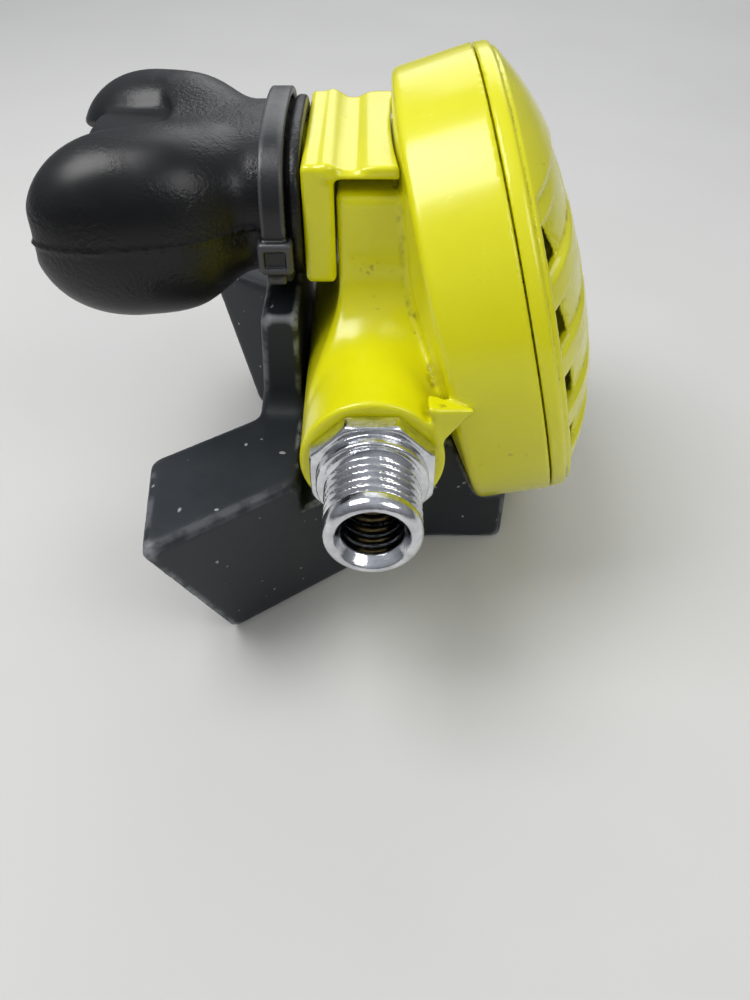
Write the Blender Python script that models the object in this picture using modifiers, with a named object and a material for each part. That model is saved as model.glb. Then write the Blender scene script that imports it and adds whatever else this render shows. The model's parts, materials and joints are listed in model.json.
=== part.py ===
"""Second stage of a scuba regulator: demand valve, purge cover, exhaust tee and mouthpiece.

Row frame: +Z up, the inlet fitting points along -Y, the mouthpiece along -X and the
front cover along +X, tilted up.  The origin is the bottom centre of the bounding box.
Three empties carry the parts: "regulator" (barrel axis crossing the plane of symmetry),
"disc_axis" (round case, its +Z runs out through the front cover, its +X runs down)
and "barrel_axis" (its +Z runs along the barrel, away from the inlet).
"""
import math

import bmesh
import bpy
from mathutils import Matrix, Vector

MM = 0.001

# ---- driving dimensions (mm) ---------------------------------------------------------
ROW_SHIFT = (5.79, 1.664, 37.2)     # barrel axis above the bottom centre of the box

DISC_TILT = 14.4                    # degrees, front cover tipped up
DISC_CENTRE = (24.7, 0.0, 9.1)      # centre of the seam between case and cover
CASE_RADIUS = 38.1
RIM_DEPTH = 11.4                    # straight part of the rim behind the seam
WALL = 2.0
GAP = 0.3                           # between pieces that touch
BACK_RADIUS = 8.0                   # flat middle of the back wall
BACK_DEPTH = 18.8

BARREL_RADIUS = 11.0
BARREL_BORE = 8.2
BARREL_INLET_END = -40.0
BARREL_PLUG_END = 24.0
BARREL_IN_DISC = (2.67, -26.2)      # barrel axis in the disc frame: down, forward

HORN_HALF_WIDTH = 17.3
HORN_CENTRE_Z = 26.5
COLLAR = (-10.2, -5.5, 17.5, 35.6)  # x low, x high, z low, z high
ROOF = (-6.2, 20.0, 33.6, 35.3)

COVER_LIP_RADIUS = 36.8
COVER_LIP_Z = 3.4
DOME_RISE = 8.6
COVER_WALL = 2.8
FIELD_DEPTH = 0.6                   # louvred field below the smooth top of the cover
FIELD_TOP = -25.0
BUTTON_RADIUS = 12.0
LOUVRE_ROWS = 5
LOUVRE_PITCH = 10.0
LOUVRE_FIRST = -18.7
LOUVRE_HEIGHT = 5.6

DIAPHRAGM_Z = -8.6
LEVER_PIVOT = (2.67, 14.3, -21.0)   # in the disc frame
EXHAUST_DOWN = 25.0                 # exhaust port below the disc axis
EXHAUST_FACE = -17.5

FLOOR = -37.2
RISER_TOP = 13.0
WING_DIRECTION = (0.815, 0.579)     # plan direction of a tee wing, towards its apex
THREAD_RADIUS = 7.15
THREAD_PITCH = 25.4 / 18

FINE = 52
MEDIUM = 30
SMALL = 20


# ---- scene, materials and frames -----------------------------------------------------
for old in list(bpy.data.objects):
    bpy.data.objects.remove(old, do_unlink=True)

parts = bpy.data.collections.new("diving_second_stage")
cutters = bpy.data.collections.new("cutters")
for collection in (parts, cutters):
    bpy.context.scene.collection.children.link(collection)


def material(name, colour, roughness, metallic=0.0):
    made = bpy.data.materials.new(name)
    made.use_nodes = True
    shader = made.node_tree.nodes["Principled BSDF"]
    shader.inputs["Base Color"].default_value = (*colour, 1.0)
    shader.inputs["Roughness"].default_value = roughness
    shader.inputs["Metallic"].default_value = metallic
    return made


YELLOW = material("yellow_plastic", (0.80, 0.76, 0.02), 0.28)
BLACK_RUBBER = material("black_rubber", (0.025, 0.028, 0.032), 0.55)
BLACK_SILICONE = material("black_silicone", (0.012, 0.012, 0.014), 0.38)
BLACK_NYLON = material("black_nylon", (0.015, 0.015, 0.016), 0.45)
CHROME = material("chromed_brass", (0.75, 0.75, 0.77), 0.12, 1.0)
BRASS = material("bare_brass", (0.72, 0.55, 0.25), 0.3, 1.0)
STEEL = material("stainless_steel", (0.62, 0.62, 0.63), 0.25, 1.0)
CLEAR_SILICONE = material("silicone_membrane", (0.62, 0.64, 0.66), 0.5)
WHITE_PLASTIC = material("acetal_plastic", (0.78, 0.78, 0.76), 0.45)
SEAL_RUBBER = material("nitrile_rubber", (0.02, 0.02, 0.02), 0.6)


def frame_empty(name, location, rotation=(0.0, 0.0, 0.0), parent=None):
    empty = bpy.data.objects.new(name, None)
    parts.objects.link(empty)
    empty.location = [value * MM for value in location]
    empty.rotation_euler = rotation
    empty.parent = parent
    return empty


REGULATOR = frame_empty("regulator", ROW_SHIFT)
DISC = frame_empty("disc_axis", DISC_CENTRE, (0.0, math.radians(90.0 - DISC_TILT), 0.0), REGULATOR)
BARREL = frame_empty("barrel_axis", (0.0, 0.0, 0.0), (-math.pi / 2, 0.0, 0.0), REGULATOR)
EXHAUST = frame_empty("exhaust_axis", (EXHAUST_DOWN, 0.0, EXHAUST_FACE), (0.0, 0.0, 0.0), DISC)
PIVOT = frame_empty("lever_axis", LEVER_PIVOT, (0.0, 0.0, 0.0), DISC)


# ---- modelling helpers (all lengths in mm, in the frame of the parent) -------------------
def add_object(name, bm, parent, finish=None):
    """Store a bmesh as an object: a part when it has a finish, else a cutter."""
    mesh = bpy.data.meshes.new(name)
    bmesh.ops.recalc_face_normals(bm, faces=bm.faces)
    bm.to_mesh(mesh)
    bm.free()
    obj = bpy.data.objects.new(name, mesh)
    obj.parent = parent
    if finish is None:
        cutters.objects.link(obj)
        obj.hide_render = True
        obj.display_type = "WIRE"
    else:
        parts.objects.link(obj)
        mesh.materials.append(finish)
    return obj


def smooth(obj, angle=32.0):
    obj.data.shade_smooth()
    obj.data.set_sharp_from_angle(angle=math.radians(angle))
    return obj


def turned(name, profile, parent, finish=None, steps=MEDIUM, closed=False):
    """Turn (radius, height) points, listed down the outer side, about the parent's Z."""
    bm = bmesh.new()
    points = [bm.verts.new((r * MM, 0.0, z * MM)) for r, z in profile]
    for first, second in zip(points, points[1:]):
        bm.edges.new((first, second))
    if closed:
        bm.edges.new((points[-1], points[0]))
    mesh = bpy.data.meshes.new(name)
    bm.to_mesh(mesh)
    bm.free()
    obj = bpy.data.objects.new(name, mesh)
    obj.parent = parent
    screw = obj.modifiers.new("turn", "SCREW")
    screw.steps = screw.render_steps = steps
    screw.use_merge_vertices = True
    screw.merge_threshold = 0.00001
    screw.use_smooth_shade = True
    if finish is None:
        cutters.objects.link(obj)
        obj.hide_render = True
        obj.display_type = "WIRE"
    else:
        parts.objects.link(obj)
        mesh.materials.append(finish)
    return obj


def rod(name, radius, low, high, parent, finish=None, steps=MEDIUM):
    """A solid round bar from height low to height high."""
    bm = bmesh.new()
    place = Matrix.Translation((0.0, 0.0, (low + high) / 2 * MM)) @ Matrix.Rotation(0.03, 4, "Z")
    bmesh.ops.create_cone(bm, cap_ends=True, segments=steps, radius1=radius * MM, radius2=radius * MM,
                          depth=(high - low) * MM, matrix=place)
    return smooth(add_object(name, bm, parent, finish))


def sleeve(name, inner, outer, low, high, parent, finish=None, steps=MEDIUM):
    """A plain tube from height low to height high."""
    profile = [(outer, high), (outer, low), (inner, low), (inner, high)]
    return turned(name, profile, parent, finish, steps, closed=True)


def ring_seal(name, major, minor, height, parent):
    """An O-ring of round section."""
    count = 8
    profile = []
    for index in range(count):
        angle = math.pi / 2 - 2 * math.pi * index / count
        profile.append((major + minor * math.cos(angle), height + minor * math.sin(angle)))
    return turned(name, profile, parent, SEAL_RUBBER, SMALL, closed=True)


def block(name, low, high, parent, finish=None, bevel=0.0, rotation=None):
    """A box between two corners, with rounded edges when bevel is given."""
    low, high = Vector(low) * MM, Vector(high) * MM
    bm = bmesh.new()
    size = Matrix.Diagonal((*(high - low), 1.0))
    if rotation is None:
        place = Matrix.Translation((low + high) / 2)
        bmesh.ops.create_cube(bm, size=1.0, matrix=place @ size)
        obj = add_object(name, bm, parent, finish)
    else:
        bmesh.ops.create_cube(bm, size=1.0, matrix=size)
        obj = add_object(name, bm, parent, finish)
        obj.location = (low + high) / 2
        obj.rotation_euler = rotation
    if bevel:
        add_bevel(obj, bevel)
    return obj


def add_bevel(obj, width, segments=2):
    modifier = obj.modifiers.new("round_edges", "BEVEL")
    modifier.width = width * MM
    modifier.segments = segments
    modifier.limit_method = "ANGLE"
    return modifier


def skin(name, rings, parent, finish=None, loop=False):
    """Loft a surface over equal rings of points; loop joins the last ring to the first."""
    bm = bmesh.new()
    rows = [[bm.verts.new(Vector(point) * MM) for point in ring] for ring in rings]
    pairs = list(zip(rows, rows[1:]))
    if loop:
        pairs.append((rows[-1], rows[0]))
    else:
        bm.faces.new(rows[0])
        bm.faces.new(rows[-1])
    for first, second in pairs:
        for index in range(len(first)):
            following = (index + 1) % len(first)
            bm.faces.new((first[index], first[following], second[following], second[index]))
    return add_object(name, bm, parent, finish)


def extruded(name, outline, half_thickness, parent, finish=None, location=(0, 0, 0), rotation=(0, 0, 0)):
    """A flat outline in the local XY plane, filled and extruded both ways along Z."""
    curve = bpy.data.curves.new(name, "CURVE")
    curve.dimensions = "2D"
    curve.fill_mode = "BOTH"
    curve.extrude = half_thickness * MM
    spline = curve.splines.new("POLY")
    spline.points.add(len(outline) - 1)
    for point, (x, y) in zip(spline.points, outline):
        point.co = (x * MM, y * MM, 0.0, 1.0)
    spline.use_cyclic_u = True
    return curve_to_mesh(name, curve, parent, finish, location, rotation)


def curve_to_mesh(name, curve, parent, finish, location=(0, 0, 0), rotation=(0, 0, 0)):
    """Turn a curve into a welded mesh object in the same place."""
    drawn = bpy.data.objects.new(name + "_curve", curve)
    cutters.objects.link(drawn)
    bpy.context.view_layer.update()
    evaluated = drawn.evaluated_get(bpy.context.evaluated_depsgraph_get())
    mesh = bpy.data.meshes.new_from_object(evaluated)
    bm = bmesh.new()
    bm.from_mesh(mesh)
    bmesh.ops.remove_doubles(bm, verts=bm.verts, dist=0.000001)
    bpy.data.objects.remove(drawn, do_unlink=True)
    bpy.data.meshes.remove(mesh)
    obj = add_object(name, bm, parent, finish)
    obj.location = [value * MM for value in location]
    obj.rotation_euler = rotation
    return obj


def coil(name, radius, wire, low, high, turns, parent):
    """A compression spring of round wire between two heights."""
    per_turn = 12
    count = int(turns * per_turn) + 1
    curve = bpy.data.curves.new(name, "CURVE")
    curve.dimensions = "3D"
    curve.bevel_depth = wire * MM
    curve.bevel_resolution = 2
    curve.use_fill_caps = True
    spline = curve.splines.new("POLY")
    spline.points.add(count - 1)
    for index, point in enumerate(spline.points):
        share = index / (count - 1)
        angle = 2 * math.pi * turns * share
        height = low + wire + (high - low - 2 * wire) * share
        point.co = (radius * math.cos(angle) * MM, radius * math.sin(angle) * MM, height * MM, 1.0)
    return smooth(curve_to_mesh(name, curve, parent, STEEL))


def boolean(obj, other, operation):
    modifier = obj.modifiers.new(other.name, "BOOLEAN")
    modifier.operation = operation
    modifier.object = other
    modifier.solver = "EXACT"


def cut(obj, *others):
    for other in others:
        boolean(obj, other, "DIFFERENCE")


def fuse(obj, *others):
    for other in others:
        boolean(obj, other, "UNION")


def superellipse(x, half_width, half_height, centre_z, power=3.0, count=36):
    """A rounded rectangle in a plane of constant x."""
    ring = []
    for index in range(count):
        angle = 2 * math.pi * index / count
        cosine, sine = math.cos(angle), math.sin(angle)
        y = math.copysign(abs(cosine) ** (2 / power), cosine) * half_width
        z = math.copysign(abs(sine) ** (2 / power), sine) * half_height
        ring.append((x, y, centre_z + z))
    return ring


def regular_polygon(sides, across_flats):
    """Corners of a regular polygon with a flat side across +Y."""
    half_turn = math.pi / sides
    radius = across_flats / 2 / math.cos(half_turn)
    turns = [(2 * corner + 1) * half_turn + math.pi / 2 for corner in range(sides)]
    return [(radius * math.cos(turn), radius * math.sin(turn)) for turn in turns]


def dome_height(radius):
    """Outer surface of the front cover inside its lip."""
    return COVER_LIP_Z + DOME_RISE * (1 - (radius / COVER_LIP_RADIUS) ** 3)


def back_height(radius):
    """Outer surface of the case's shallow conical back wall."""
    edge = CASE_RADIUS - 2.5
    slope = (BACK_DEPTH - RIM_DEPTH - 1.8) / (edge - BACK_RADIUS)
    return -(BACK_DEPTH - slope * (max(radius, BACK_RADIUS) - BACK_RADIUS))


# ---- case: rim, back wall, barrel and air duct in one moulding ------------------------------
def duct_section(z, half_width, left, flat_end):
    """Plan outline of the air duct at height z, with a concave fillet towards the case."""
    far_width = min(half_width, 20.0)
    fillet = 3.7
    depth = 7.0
    near = [(left, -half_width + 1.2), (left + 0.4, -half_width + 0.4), (left + 1.2, -half_width)]
    near.append((flat_end, -half_width))
    for step in (0.25, 0.5, 0.75, 1.0):
        angle = step * math.pi / 2
        near.append((flat_end + fillet * math.sin(angle), -half_width + depth * (1 - math.cos(angle))))
    near.append((12.0, -half_width + depth))
    far = [(x, -y - half_width + far_width) for x, y in reversed(near)]
    return [(x, y, z) for x, y in near + far]


def case_room(name):
    """The space that the rim, back wall and cover need, as a cutter for their neighbours."""
    rim = CASE_RADIUS + 0.5
    edge = CASE_RADIUS - 2.5
    clearance = 0.4
    profile = [(0.0, 20.0), (rim, 20.0), (rim - 0.4, -RIM_DEPTH - 0.6), (rim - 1.4, -RIM_DEPTH - 2.0),
               (edge, back_height(edge) - clearance), (BACK_RADIUS, -BACK_DEPTH - clearance),
               (0.0, -BACK_DEPTH - clearance)]
    return turned(name, profile, DISC, None, FINE)


def make_case():
    rim = CASE_RADIUS
    edge = rim - 2.5
    outer = [(0.0, 0.0), (rim - 0.25, 0.0), (rim, -0.25), (rim - 0.5, -RIM_DEPTH)]
    for step in (1, 2, 3):
        angle = step * math.pi / 6
        outer.append((rim - 2.2 + 1.7 * math.cos(angle), -RIM_DEPTH - 1.5 * math.sin(angle)))
    outer += [(edge, back_height(edge)), (BACK_RADIUS, -BACK_DEPTH), (0.0, -BACK_DEPTH)]
    case = turned("case", outer, DISC, YELLOW, FINE)

    barrel = turned("barrel_outer", [(0.0, BARREL_PLUG_END), (BARREL_RADIUS - 0.5, BARREL_PLUG_END),
                                     (BARREL_RADIUS, BARREL_PLUG_END - 0.5),
                                     (BARREL_RADIUS, BARREL_INLET_END + 0.6),
                                     (BARREL_RADIUS - 0.6, BARREL_INLET_END), (0.0, BARREL_INLET_END)],
                    BARREL, None, MEDIUM)
    levels = [(5.0, 33.0, -9.3, 5.0), (7.0, 30.0, -8.2, 4.0), (9.0, 26.5, -7.2, 3.0),
              (11.5, 23.0, -6.3, 3.5), (14.5, 20.4, -5.6, 4.6), (18.0, 18.6, -5.3, 4.6),
              (22.5, 17.5, -5.2, 4.0), (31.3, 16.9, -5.2, 3.0)]
    duct = skin("duct_outer", [duct_section(*level) for level in levels], REGULATOR)
    fin = extruded("fin", [(8.4, 9.6), (9.9, 3.4), (13.4, 9.3)], 1.3, REGULATOR, None,
                   (0.0, BARREL_INLET_END + 1.6, 0.0), (math.pi / 2, 0.0, 0.0))
    boss = rod("exhaust_boss", 9.6, 0.0, 5.0, EXHAUST)
    fuse(case, barrel, duct, fin, boss)

    seat = rim - 1.7
    ledge = rim - 3.7
    cavity = turned("case_cavity", [(0.0, 1.0), (seat, 1.0), (seat, -4.9), (ledge, -4.9),
                                    (ledge, back_height(ledge) + WALL), (BACK_RADIUS, WALL - BACK_DEPTH),
                                    (0.0, WALL - BACK_DEPTH)], DISC, None, FINE)
    bore = rod("barrel_bore", BARREL_BORE, BARREL_INLET_END - 1.0, BARREL_PLUG_END + 1.0, BARREL)
    air_way = block("duct_cavity", (-3.2, -14.0, 4.0), (8.0, 14.0, 29.3), REGULATOR)
    mouth = block("duct_mouth", (-8.0, -12.5, 20.0), (-2.0, 12.5, 29.3), REGULATOR)
    down, forward = BARREL_IN_DISC
    window = block("lever_window", (down - 5.5, -3.0, forward), (down + 5.5, 17.5, -12.0), DISC)
    spot_face = rod("hub_recess", 8.2, 2.0, 8.0, EXHAUST)
    hub_hole = rod("hub_hole", 1.25, -1.0, 4.0, EXHAUST, None, SMALL)
    fuse(cavity, bore, air_way, mouth, window, spot_face, hub_hole)
    for index in range(6):
        vent = rod(f"vent_{index}", 2.2, -1.0, 4.0, EXHAUST, None, 16)
        angle = index * math.pi / 3
        vent.location = (5.4 * MM * math.cos(angle), 5.4 * MM * math.sin(angle), 0.0)
        fuse(cavity, vent)
    cut(case, cavity)


# ---- mouthpiece side ---------------------------------------------------------------------
def make_horn():
    """Collar with an oval spigot and a roof plate that lies over the air duct."""
    x_low, x_high, z_low, z_high = COLLAR
    width = HORN_HALF_WIDTH
    horn = block("mouthpiece_horn", (x_low, -width, z_low), (x_high, width, z_high), REGULATOR, YELLOW, 0.9)
    roof_low, roof_high, roof_under, roof_top = ROOF
    roof = block("roof_plate", (roof_low, -width, roof_under), (roof_high, width, roof_top), REGULATOR, None, 0.5)
    spigot = skin("spigot", [superellipse(x, 13.6, 8.0, HORN_CENTRE_Z, 2.4) for x in (-22.0, x_low + 1.0)],
                  REGULATOR)
    channel = skin("horn_channel", [superellipse(x, 11.6, 6.1, HORN_CENTRE_Z, 2.4) for x in (-23.0, 0.0)],
                   REGULATOR)
    fuse(horn, roof, spigot)
    cut(horn, channel, case_room("horn_case_room"))


def make_mouthpiece():
    """Soft boot that swells into a wide hollow lip shield, open at its end."""
    middle = HORN_CENTRE_Z
    outside = [(-10.6, 17.4, 10.9), (-11.6, 17.8, 11.3), (-17.4, 17.8, 11.3), (-18.2, 17.0, 10.7),
               (-21.0, 17.0, 10.7), (-23.5, 19.5, 11.8), (-28.0, 22.8, 12.7), (-35.0, 24.8, 13.0),
               (-42.0, 24.8, 12.7), (-47.5, 22.6, 11.2), (-51.0, 18.8, 8.8)]
    inside = [(-50.0, 16.8, 6.6), (-46.0, 19.8, 8.6), (-38.0, 21.6, 9.8), (-31.0, 18.5, 8.8),
              (-24.0, 14.0, 8.3), (-10.6, 13.9, 8.3)]
    rings = [superellipse(x, width, height, middle, 2.7) for x, width, height in outside]
    rings += [superellipse(x, width, height, middle, 2.4) for x, width, height in inside]
    boot = skin("mouthpiece", rings, REGULATOR, BLACK_SILICONE, loop=True)
    smooth(boot, 50.0)


def make_clamp():
    """Nylon cable tie round the boot, with its square lock."""
    outer = [superellipse(x, 19.0, 12.5, HORN_CENTRE_Z, 2.7) for x in (-16.3, -12.7)]
    inner = [superellipse(x, 18.1, 11.6, HORN_CENTRE_Z, 2.7) for x in (-12.7, -16.3)]
    clamp = skin("mouthpiece_clamp", outer + inner, REGULATOR, BLACK_NYLON, loop=True)
    smooth(clamp, 30.0)
    lock = block("clamp_lock", (-17.0, -20.6, 20.4), (-11.8, -17.7, 25.4), REGULATOR, None, 0.5)
    room = skin("lock_room", [superellipse(x, 18.1, 11.6, HORN_CENTRE_Z, 2.7) for x in (-17.5, -11.0)],
                REGULATOR)
    fuse(clamp, lock)
    cut(clamp, room)


# ---- front cover, purge button and diaphragm ---------------------------------------------------
def louvre(row):
    """Cutters for one row: a sloped recess on each side and a slot through its outer end."""
    down = LOUVRE_FIRST + row * LOUVRE_PITCH
    outer = math.sqrt((COVER_LIP_RADIUS - 1.3) ** 2 - (abs(down) + LOUVRE_HEIGHT / 2) ** 2)
    inner = math.sqrt(max(16.0 ** 2 - down ** 2, 9.0))
    low = dome_height(math.hypot(outer, down)) - 1.4
    high = dome_height(math.hypot(inner, down)) - 0.3
    slope = math.atan2(high - low, outer - inner)
    length = math.hypot(high - low, outer - inner)
    made = []
    for side in (-1, 1):
        centre = Vector((down, side * (outer + inner) / 2, (low + high) / 2))
        normal = Vector((0.0, side * math.sin(slope), math.cos(slope)))
        middle = centre + normal * 4.0
        half = Vector((LOUVRE_HEIGHT / 2, length / 2, 4.0))
        recess = block(f"recess_{row}_{side}", middle - half, middle + half, DISC, None, 1.2,
                       (-side * slope, 0.0, 0.0))
        low_y, high_y = sorted((side * (outer - 4.0), side * outer))
        slot = block(f"slot_{row}_{side}", (down - LOUVRE_HEIGHT / 2 + 0.6, low_y, -1.0),
                     (down + LOUVRE_HEIGHT / 2 - 1.6, high_y, 12.0), DISC, None, 0.8)
        made += [recess, slot]
    return made


def make_cover():
    rim = CASE_RADIUS
    lip = COVER_LIP_RADIUS
    hub = BUTTON_RADIUS + 0.3
    radii = [lip, 33.5, 29.0, 23.0, 17.0, hub]
    outer = [(r, dome_height(r)) for r in reversed(radii)]
    outer += [(lip + 0.15, COVER_LIP_Z - 0.5), (rim - 0.6, COVER_LIP_Z - 0.9), (rim - 0.15, 1.6),
              (rim, 0.5), (rim - 0.2, GAP), (rim - 2.0, GAP), (rim - 2.0, -1.4), (rim - 3.9, -1.4)]
    inner = [(rim - 3.9, dome_height(33.5) - COVER_WALL - 1.0)]
    inner += [(r, dome_height(r) - COVER_WALL) for r in (30.0, 23.0, 16.0)]
    inner += [(14.0, 4.0), (14.0, 2.6), (2.4, 2.6), (2.4, 4.0), (hub, 4.0)]
    cover = turned("front_cover", outer + inner, DISC, YELLOW, FINE, closed=True)

    sunk = [(r, dome_height(r) - FIELD_DEPTH) for r in reversed(radii[1:])]
    field = turned("louvre_field", [(0.0, 20.0), (lip - 0.6, 20.0), (lip - 0.6, sunk[-1][1] - 1.0)]
                   + list(reversed(sunk)) + [(0.0, dome_height(0.0) - FIELD_DEPTH)], DISC, None, FINE)
    above = block("field_limit", (-60.0, -60.0, -10.0), (FIELD_TOP, 60.0, 40.0), DISC)
    field.rotation_euler.z = 0.02
    above.rotation_euler.z = -0.02
    cut(field, above)
    for row in range(LOUVRE_ROWS):
        fuse(field, *louvre(row))
    cut(cover, field)
    for index in range(6):
        vent = rod(f"spider_vent_{index}", 2.3, 1.0, 5.0, DISC, None, 16)
        angle = (index + 0.5) * math.pi / 3
        vent.location = (8.6 * MM * math.cos(angle), 8.6 * MM * math.sin(angle), 0.0)
        cut(cover, vent)


def make_button():
    radius = BUTTON_RADIUS
    crown = [(r, dome_height(r) - FIELD_DEPTH) for r in (0.0, 4.0, 8.0, radius - 0.8)]
    profile = crown + [(radius, crown[-1][1] - 0.7), (radius, 8.6), (radius - 1.6, 8.6), (radius - 1.6, 9.4),
                       (2.0, 9.4), (2.0, 2.2), (1.5, 2.2), (1.5, 1.4), (2.0, 1.4), (2.0, -7.6),
                       (1.5, DIAPHRAGM_Z + 0.5), (0.0, DIAPHRAGM_Z + 0.5)]
    turned("purge_button", profile, DISC, YELLOW, MEDIUM)
    sleeve("button_clip", 1.7, 3.4, 1.5, 2.1, DISC, STEEL, SMALL)
    coil("purge_spring", 4.6, 0.4, 4.3, 9.1, 3.0, DISC)


def make_diaphragm():
    seat = CASE_RADIUS - 2.0
    sleeve("diaphragm_retainer", 32.4, seat, -2.7, -1.8, DISC, WHITE_PLASTIC, FINE)
    middle = DIAPHRAGM_Z
    membrane = [(0.0, middle), (22.0, middle), (27.0, middle + 0.9), (30.0, -4.6), (31.2, -3.6),
                (32.6, -3.1), (seat, -3.1), (seat, -4.6), (34.6, -4.6), (33.6, -4.1), (32.4, -4.2),
                (31.2, -5.2), (28.0, middle + 0.1), (22.4, middle - 0.8), (0.0, middle - 0.8)]
    turned("diaphragm", membrane, DISC, CLEAR_SILICONE, MEDIUM)
    rod("diaphragm_plate", 9.5, middle - 2.0, middle - 1.1, DISC, STEEL, MEDIUM)


# ---- demand valve inside the barrel ------------------------------------------------------------
def make_inlet():
    """Chromed fitting: threaded nose, octagon, shank with a seal groove, and through bore."""
    nose = BARREL_INLET_END - 16.5
    thread_start = nose + 2.6
    crests = 5
    shoulder_end = BARREL_INLET_END - 5.5
    nut_low = BARREL_INLET_END - 3.4
    nut_high = BARREL_INLET_END - GAP
    profile = [(5.9, BARREL_INLET_END + 16.0), (5.9, BARREL_INLET_END + 10.0), (7.9, BARREL_INLET_END + 10.0),
               (7.9, BARREL_INLET_END + 6.0), (6.7, BARREL_INLET_END + 6.0), (6.7, BARREL_INLET_END + 4.0),
               (7.9, BARREL_INLET_END + 4.0), (7.9, nut_high - 1.0),
               (8.3, nut_low + 1.0), (8.3, shoulder_end + 0.4), (7.9, shoulder_end), (6.6, shoulder_end - 0.1),
               (6.4, shoulder_end - 0.3)]
    for crest in range(crests):
        top = thread_start + (crests - crest) * THREAD_PITCH
        profile += [(THREAD_RADIUS, top - 0.45 * THREAD_PITCH), (THREAD_RADIUS, top - 0.65 * THREAD_PITCH),
                    (6.4, top - THREAD_PITCH)]
    profile += [(7.0, thread_start - 0.5), (7.1, nose + 1.3), (6.9, nose + 0.4), (6.5, nose),
                (5.3, nose), (4.9, nose + 0.7), (4.6, nose + 1.8), (4.6, nose + 7.0), (4.1, nose + 7.4),
                (4.1, nose + 9.5), (4.6, nose + 9.9), (4.6, BARREL_INLET_END + 16.0)]
    inlet = turned("inlet_fitting", profile, BARREL, CHROME, MEDIUM, closed=True)
    centre = (nut_low + nut_high) / 2
    nut = extruded("octagon", regular_polygon(8, 18.4), (nut_high - nut_low) / 2, BARREL, None,
                   (0, 0, centre))
    add_bevel(nut, 0.25, 1)
    clear = rod("octagon_room", 7.3, nut_low - 1.0, nut_high + 1.0, BARREL)
    cut(nut, clear)
    fuse(inlet, nut)
    ring_seal("inlet_o_ring", 7.4, 0.65, BARREL_INLET_END + 5.0, BARREL)


def make_valve():
    tube_end = 14.0
    turned("valve_body", [(6.3, -29.7), (6.3, 12.0), (1.9, 12.0), (1.9, tube_end), (7.2, tube_end),
                          (7.9, tube_end - 0.7), (7.9, -29.7)], BARREL, BRASS, MEDIUM, closed=True)
    turned("orifice", [(3.0, -18.0), (4.3, -19.6), (4.3, -26.0), (3.7, -26.0), (3.7, -27.4),
                       (4.3, -27.4), (4.3, -30.0), (2.0, -30.0), (2.0, -18.6), (2.5, -18.0)],
           BARREL, BRASS, SMALL, closed=True)
    ring_seal("orifice_o_ring", 4.12, 0.34, -26.7, BARREL)
    rod("poppet_seat", 3.5, -17.7, -15.8, BARREL, SEAL_RUBBER, SMALL)
    turned("poppet", [(0.0, 20.4), (1.4, 20.4), (1.4, -9.7), (4.6, -9.7), (4.6, -17.2), (3.8, -17.2),
                      (3.8, -15.5), (0.0, -15.5)], BARREL, WHITE_PLASTIC, SMALL)
    coil("poppet_spring", 3.6, 0.45, -9.4, 11.7, 6.5, BARREL)
    sleeve("lever_washer", 1.7, 4.2, 16.1, 16.8, BARREL, STEEL, SMALL)
    nut = extruded("lever_nut", regular_polygon(6, 6.4), 1.2, BARREL, BRASS, (0, 0, 18.3))
    thread = rod("nut_hole", 1.7, 16.0, 21.0, BARREL, None, SMALL)
    cut(nut, thread)
    turned("end_plug", [(0.0, 26.6), (BARREL_RADIUS - 1.0, 26.6), (BARREL_RADIUS - 0.2, 25.8),
                        (BARREL_RADIUS - 0.2, 24.3), (7.9, 24.3), (7.9, 23.5), (7.0, 23.5), (7.0, 22.5),
                        (7.9, 22.5), (7.9, 21.8), (0.0, 21.8)], BARREL, YELLOW, MEDIUM)
    ring_seal("plug_o_ring", 7.55, 0.5, 23.0, BARREL)


def make_lever():
    """Forked lever: two feet straddle the poppet stem, one arm reaches the diaphragm plate."""
    half_gap = 2.2
    foot = 1.5
    lever = block("demand_lever", (-half_gap - foot, 0.2, 6.8), (half_gap + foot, 1.2, 8.0), PIVOT, STEEL)
    for side in (-1, 1):
        low_x, high_x = sorted((side * half_gap, side * (half_gap + foot)))
        leg = block(f"leg_{side}", (low_x, 0.2, -7.6), (high_x, 1.2, 7.4), PIVOT)
        fuse(lever, leg)
    arm = skin("arm", [[(-1.8, y, z), (1.8, y, z), (1.8, y, z + 1.0), (-1.8, y, z + 1.0)]
                       for y, z in ((0.8, 6.9), (-6.0, 7.3), (-11.0, 7.8), (-13.0, 8.6), (-14.6, 8.9))], PIVOT)
    fuse(lever, arm)
    tip = rod("lever_tip", 0.9, -1.8, 1.8, PIVOT, None, 24)
    tip.rotation_euler = (0.0, math.pi / 2, 0.0)
    tip.location = (0.0, -14.3 * MM, 9.05 * MM)
    fuse(lever, tip)


# ---- exhaust valve and tee -------------------------------------------------------------------
def make_exhaust_valve():
    profile = [(0.0, 4.2), (1.3, 4.2), (1.75, 3.7), (1.6, 3.2), (1.05, 3.1), (1.05, -0.5), (2.4, -0.3),
               (8.2, -0.3), (8.5, -0.7), (8.2, -1.0), (2.4, -1.3), (0.0, -1.5)]
    turned("exhaust_valve", profile, EXHAUST, CLEAR_SILICONE, MEDIUM)


def wing_quad(along, offsets, side):
    """Four corners of a wing section: (along the wing, outward offset, height) turned into x, y, z."""
    run_x, run_y = WING_DIRECTION
    return [(s * run_x + n * run_y, side * (s * run_y - n * run_x), z)
            for s, (n, z) in zip(along, offsets)]


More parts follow.
